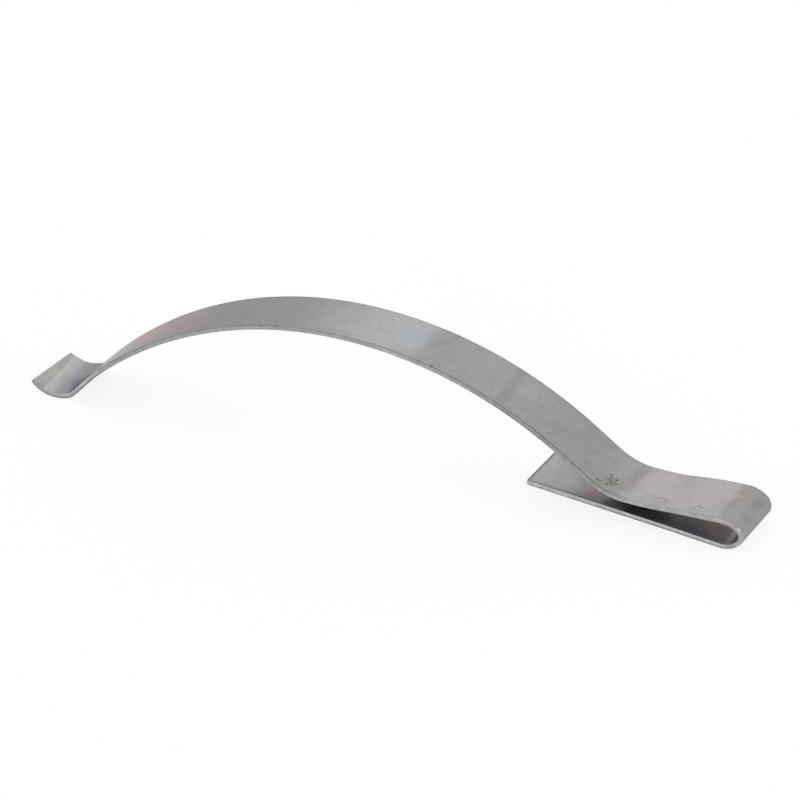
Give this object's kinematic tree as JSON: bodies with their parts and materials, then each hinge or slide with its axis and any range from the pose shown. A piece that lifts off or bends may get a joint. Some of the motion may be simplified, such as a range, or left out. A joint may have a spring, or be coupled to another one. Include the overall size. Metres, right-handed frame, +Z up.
{
  "type": "window spring",
  "caption": "Bowed flat spring with an upturned curl at one end and a folded clip at the other; it pushes a window screen or sash against its frame.",
  "frame": {"origin": "middle of the spring's footprint, on the level where its curl and its clip rest", "axes": "+X from the curl to the closed end of the clip, +Y across the strip, +Z up, away from the resting level"},
  "size_m": [0.1012, 0.0094, 0.0182],
  "materials": {
    "plated_steel": "satin zinc plate over rolled spring steel, with a faint passivation tint"
  },
  "bodies": {
    "root": {"spring": "plated_steel"}
  },
  "joints": []
}
